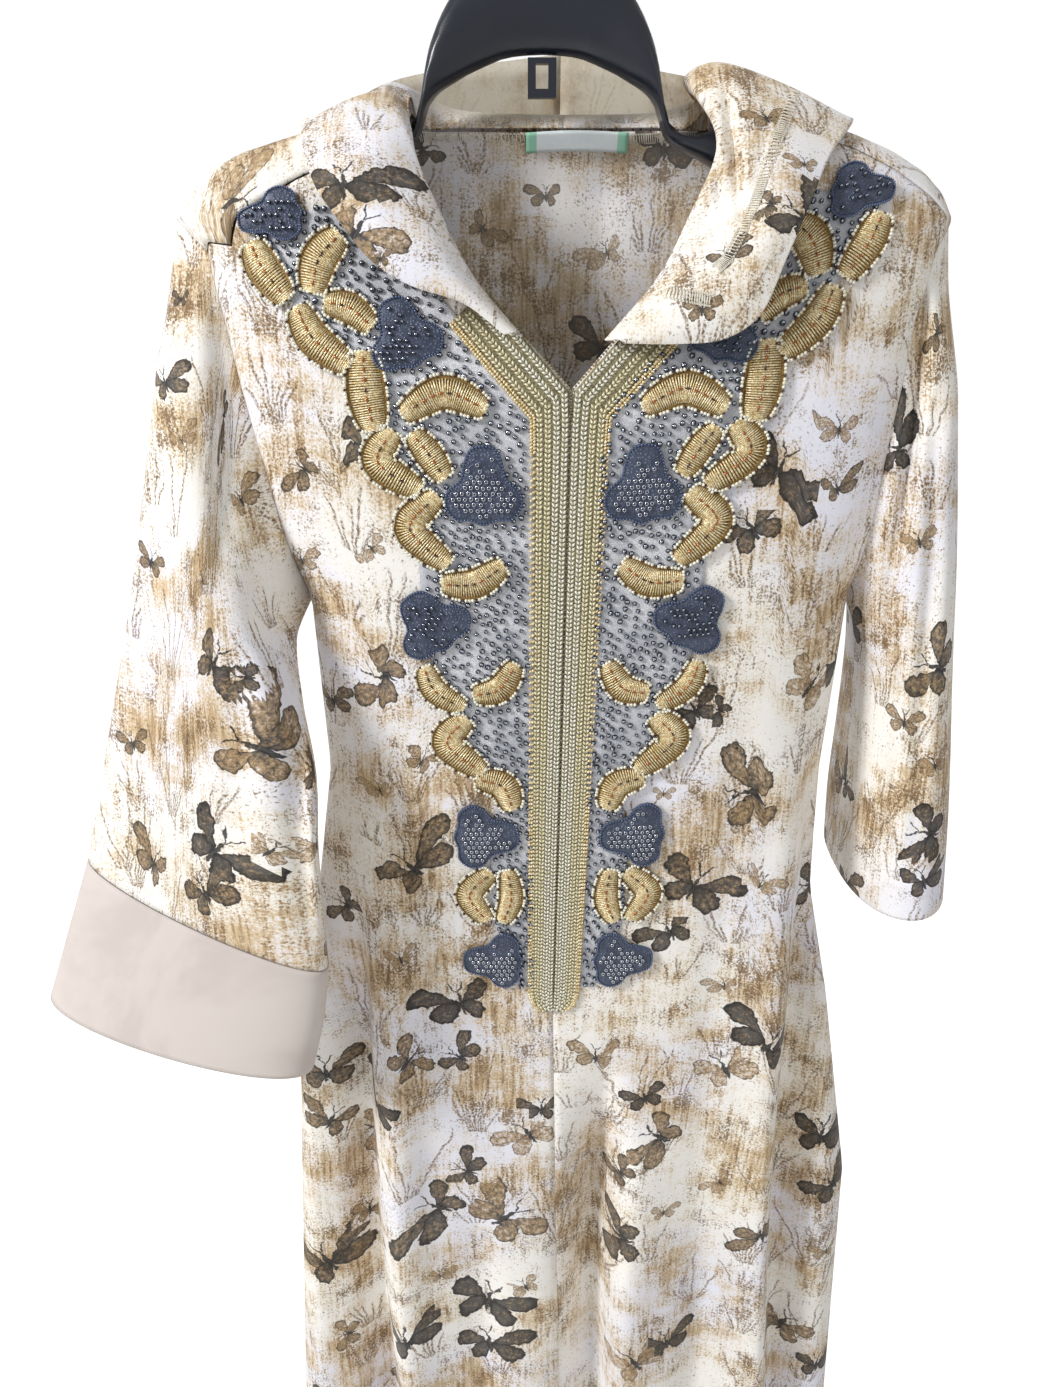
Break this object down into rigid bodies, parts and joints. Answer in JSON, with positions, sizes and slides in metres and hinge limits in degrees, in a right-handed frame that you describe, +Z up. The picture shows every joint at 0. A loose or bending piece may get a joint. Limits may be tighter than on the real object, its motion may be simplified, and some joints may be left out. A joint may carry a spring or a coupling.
{
  "type": "hooded kaftan on a hanger",
  "caption": "Hooded full-length kaftan with wide three-quarter sleeves, braided V neck and beaded bib, hanging on a moulded hanger",
  "frame": {"origin": "the seat inside the hanger's hook, where a rail or peg holds it", "axes": "+Z up, -Y the garment's front, +X the wearer's left"},
  "size_m": [0.633, 0.2337, 1.6044],
  "materials": {
    "printed_crepe": "matt crepe, cream with a printed sepia pattern",
    "plain_facing": "plain taupe facing",
    "gold_bullion": "gold metal-thread embroidery, raised",
    "gold_braid": "gold and silver braid",
    "blue_beads": "small dark blue beads and stones",
    "beaded_net": "fine grey net with scattered beads",
    "label_satin": "plain satin label",
    "moulded_plastic": "satin black moulding"
  },
  "bodies": {
    "root": {"back": "printed_crepe", "front_left": "printed_crepe", "front_right": "printed_crepe", "sleeve_left": "printed_crepe", "sleeve_right": "printed_crepe", "hood_left": "printed_crepe", "hood_right": "printed_crepe", "cuff_right": "plain_facing", "neck_label": "label_satin", "hanger_body": "moulded_plastic", "hanger_hook": "moulded_plastic", "hanger_loop": "moulded_plastic", "braid_left": "gold_braid", "net_left": "beaded_net", "bell_left_1": "blue_beads", "bell_left_2": "blue_beads", "bell_left_3": "blue_beads", "bell_left_4": "blue_beads", "bell_left_5": "blue_beads", "bell_left_6": "blue_beads", "petal_left_01": "gold_bullion", "petal_left_02": "gold_bullion", "petal_left_03": "gold_bullion", "petal_left_04": "gold_bullion", "petal_left_05": "gold_bullion", "petal_left_06": "gold_bullion", "petal_left_07": "gold_bullion", "petal_left_08": "gold_bullion", "petal_left_09": "gold_bullion", "petal_left_10": "gold_bullion", "petal_left_11": "gold_bullion", "petal_left_12": "gold_bullion", "petal_left_13": "gold_bullion", "petal_left_14": "gold_bullion", "petal_left_15": "gold_bullion", "petal_left_16": "gold_bullion", "braid_right": "gold_braid", "net_right": "beaded_net", "bell_right_1": "blue_beads", "bell_right_2": "blue_beads", "bell_right_3": "blue_beads", "bell_right_4": "blue_beads", "bell_right_5": "blue_beads", "bell_right_6": "blue_beads", "petal_right_01": "gold_bullion", "petal_right_02": "gold_bullion", "petal_right_03": "gold_bullion", "petal_right_04": "gold_bullion", "petal_right_05": "gold_bullion", "petal_right_06": "gold_bullion", "petal_right_07": "gold_bullion", "petal_right_08": "gold_bullion", "petal_right_09": "gold_bullion", "petal_right_10": "gold_bullion", "petal_right_11": "gold_bullion", "petal_right_12": "gold_bullion", "petal_right_13": "gold_bullion", "petal_right_14": "gold_bullion", "petal_right_15": "gold_bullion", "petal_right_16": "gold_bullion"}
  },
  "joints": []
}
